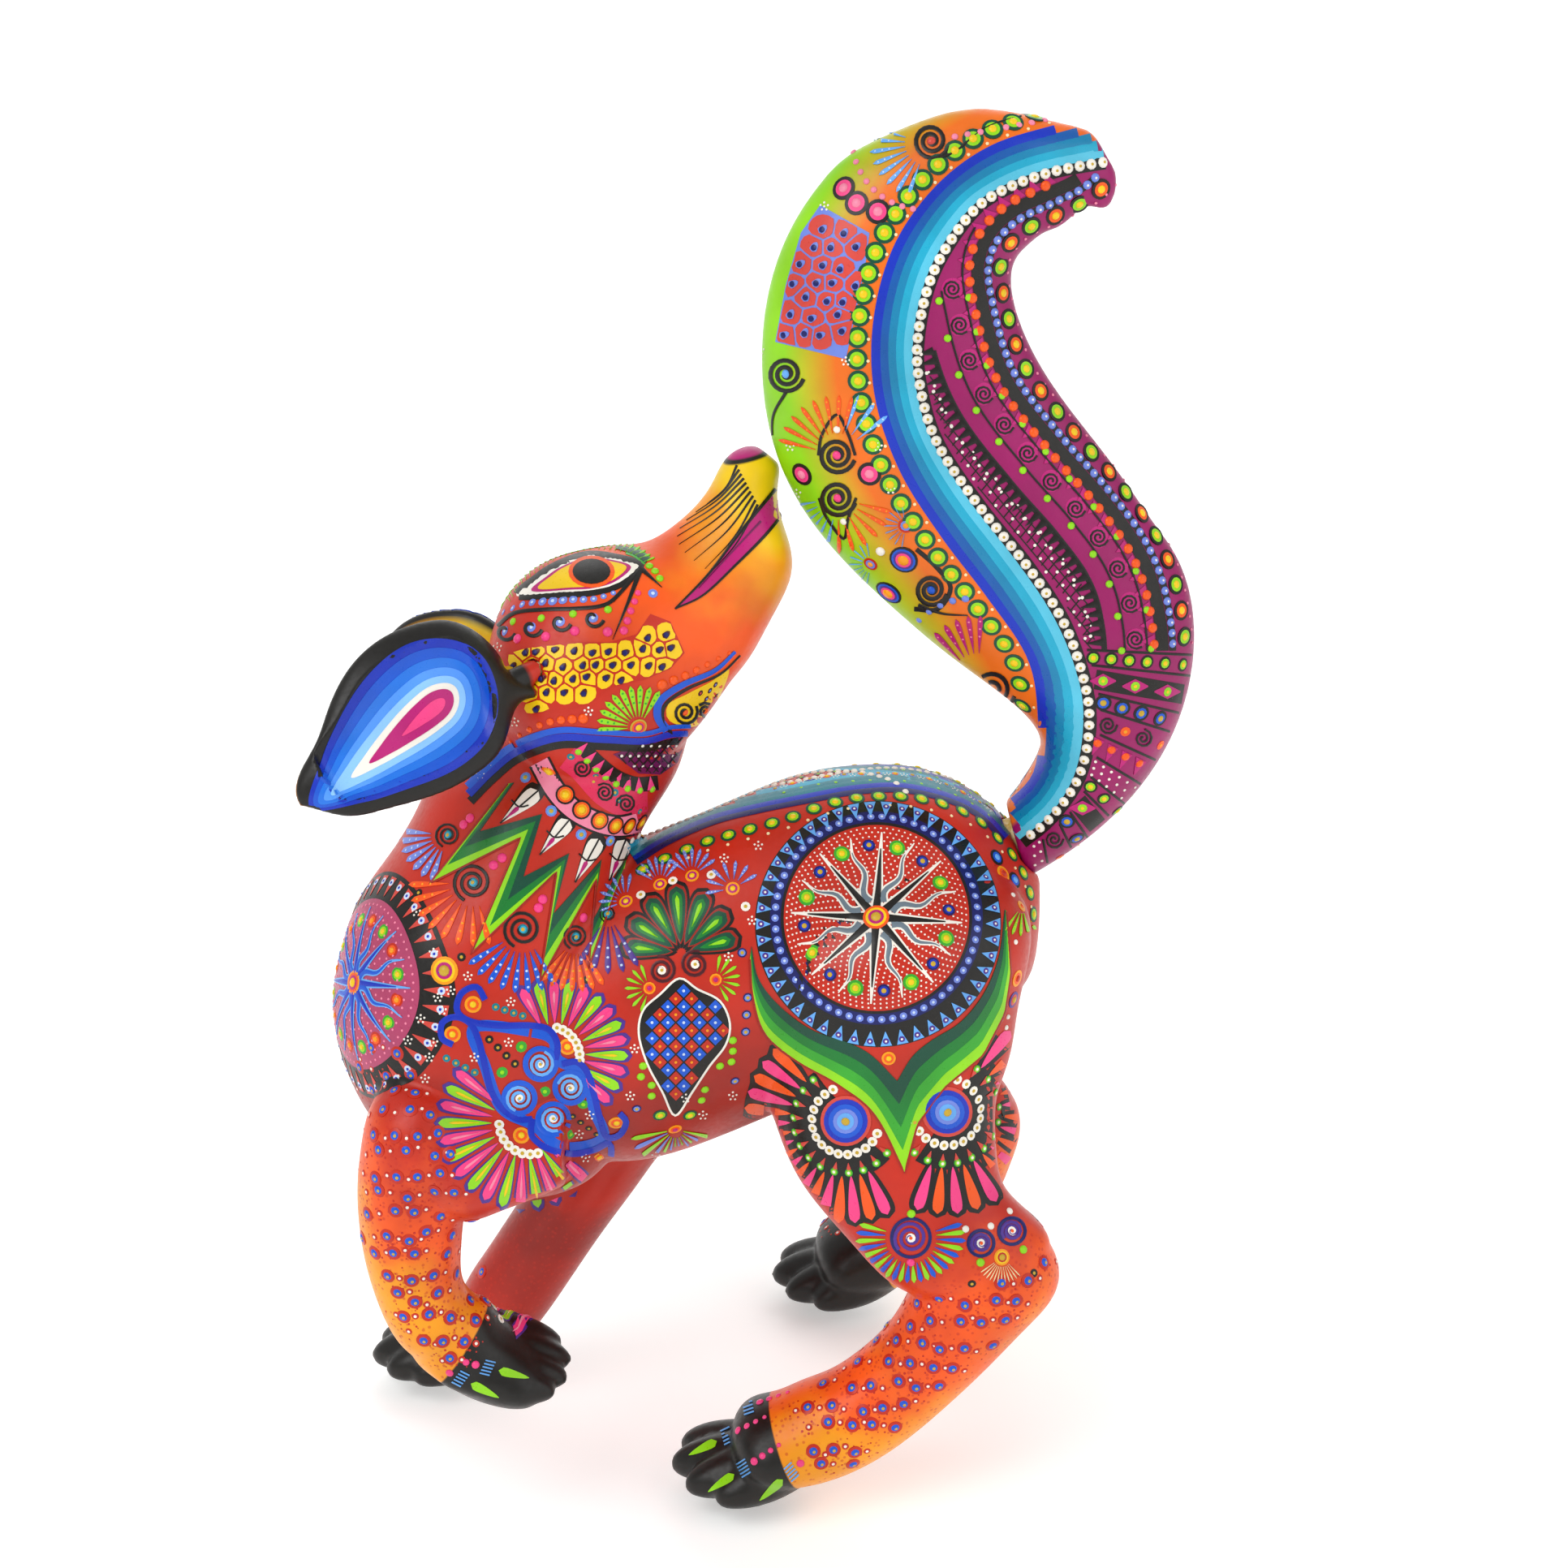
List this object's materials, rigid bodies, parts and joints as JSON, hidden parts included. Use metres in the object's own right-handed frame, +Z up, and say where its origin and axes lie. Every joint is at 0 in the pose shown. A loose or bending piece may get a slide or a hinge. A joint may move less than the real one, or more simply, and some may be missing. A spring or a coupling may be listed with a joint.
{
  "type": "carved animal figure",
  "caption": "Free-standing carved wooden coyote figure with a raised paw, looking back over its shoulder, with plug-in S-shaped tail and plug-in ears, painted all over in folk patterns.",
  "frame": {"origin": "centre of the figure's outline at the ground plane under its soles", "axes": "+Z up, -Y out of the animal's left flank, -X the way its chest faces"},
  "size_m": [0.2002, 0.1353, 0.3205],
  "materials": {
    "painted_body": "satin acrylic paint on sanded copal wood, orange-red with dotted and lined folk patterns",
    "painted_head": "satin acrylic paint, red shading to yellow at the muzzle, with dotted and lined patterns",
    "painted_legs": "satin acrylic paint, orange-red with blue dots, black paws and green claws",
    "painted_tail": "satin acrylic paint, yellow-green one side and magenta the other with a blue band between, dotted and lined",
    "painted_ear": "satin acrylic paint, black rim round nested blue, white and magenta drops",
    "bare_wood": "bare sanded copal wood"
  },
  "bodies": {
    "body": {"torso": "painted_body", "head": "painted_head", "front_left_leg": "painted_legs", "front_right_leg": "painted_legs", "rear_left_leg": "painted_legs", "rear_right_leg": "painted_legs", "neck_dowel": "bare_wood", "front_left_dowel": "bare_wood", "front_right_dowel": "bare_wood", "rear_left_dowel": "bare_wood", "rear_right_dowel": "bare_wood"},
    "tail": {"tail": "painted_tail", "tail_peg": "bare_wood"},
    "right_ear": {"right_ear": "painted_ear", "right_ear_peg": "bare_wood"},
    "left_ear": {"left_ear": "painted_ear", "left_ear_peg": "bare_wood"}
  },
  "joints": [
    {"name": "tail_pull", "type": "slide", "parent": "body", "child": "tail", "axis": [0.9564, 0, 0.2922], "range_m": [0, 0.04]},
    {"name": "right_ear_pull", "type": "slide", "parent": "body", "child": "right_ear", "axis": [-0.8084, -0.5406, -0.2329], "range_m": [0, 0.02]},
    {"name": "left_ear_pull", "type": "slide", "parent": "body", "child": "left_ear", "axis": [-0.8084, 0.5277, -0.2609], "range_m": [0, 0.02]}
  ]
}
